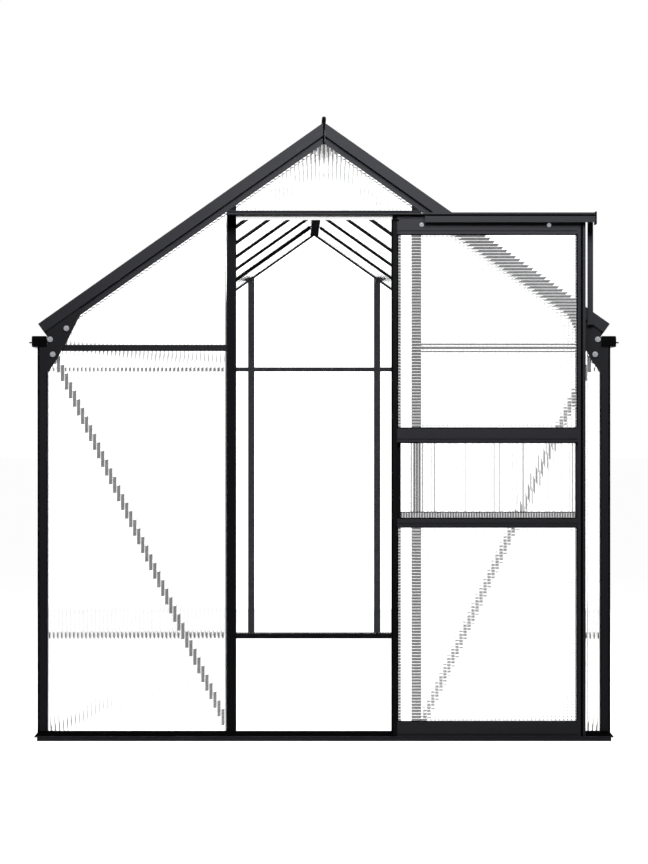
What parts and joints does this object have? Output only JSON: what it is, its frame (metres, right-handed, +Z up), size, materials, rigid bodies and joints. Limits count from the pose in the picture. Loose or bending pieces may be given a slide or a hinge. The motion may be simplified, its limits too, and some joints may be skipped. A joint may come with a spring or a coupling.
{
  "type": "greenhouse",
  "caption": "Gable-roofed garden greenhouse: dark aluminium frame, clear twin-wall sheets, gutters, a closed roof vent and a door that slides across the front gable.",
  "frame": {"origin": "on the ground, at the centre of the overall length and width", "axes": "+X to the right seen from the door, +Y from the front gable to the back, +Z up"},
  "size_m": [1.904, 3.712, 2.0122],
  "materials": {
    "anthracite_frame": "satin powder coat",
    "twin_wall_sheet": "clear ribbed twin-wall polycarbonate",
    "black_plastic": "moulded, matt",
    "bright_steel": "zinc-plated bolts and washers"
  },
  "bodies": {
    "shell": {"front_sill": "anthracite_frame", "back_sill": "anthracite_frame", "side_sills": "anthracite_frame", "corner_posts": "anthracite_frame", "front_door_posts": "anthracite_frame", "back_gable_posts": "anthracite_frame", "front_mid_rails": "anthracite_frame", "back_mid_rails": "anthracite_frame", "wall_bars": "anthracite_frame", "left_gutter": "anthracite_frame", "right_gutter": "anthracite_frame", "gable_rafters": "anthracite_frame", "ridge_beam": "anthracite_frame", "roof_bars": "anthracite_frame", "gusset_plates": "anthracite_frame", "diagonal_braces": "anthracite_frame", "roof_vent_frame": "anthracite_frame", "roof_vent_bar": "anthracite_frame", "door_header": "anthracite_frame", "door_track": "anthracite_frame", "track_lip": "anthracite_frame", "track_guide_bar": "anthracite_frame", "track_strut": "anthracite_frame", "door_floor_track": "anthracite_frame", "floor_track_lip": "anthracite_frame", "front_gable_panels": "twin_wall_sheet", "back_gable_panels": "twin_wall_sheet", "left_wall_panels": "twin_wall_sheet", "right_wall_panels": "twin_wall_sheet", "left_roof_panels": "twin_wall_sheet", "right_roof_panels": "twin_wall_sheet", "roof_vent_panel": "twin_wall_sheet", "gutter_end_caps": "black_plastic", "track_end_cap": "black_plastic"},
    "sliding_door": {"door_left_stile": "anthracite_frame", "door_right_stile": "anthracite_frame", "door_top_rail": "anthracite_frame", "door_upper_rail": "anthracite_frame", "door_lower_rail": "anthracite_frame", "door_bottom_rail": "anthracite_frame", "door_upper_panel": "twin_wall_sheet", "door_middle_panel": "twin_wall_sheet", "door_lower_panel": "twin_wall_sheet", "door_top_guides": "black_plastic", "door_rollers": "black_plastic"}
  },
  "joints": [
    {"name": "door_slide", "type": "slide", "parent": "shell", "child": "sliding_door", "axis": [1, 0, 0], "range_m": [-0.529, 0.02]}
  ]
}
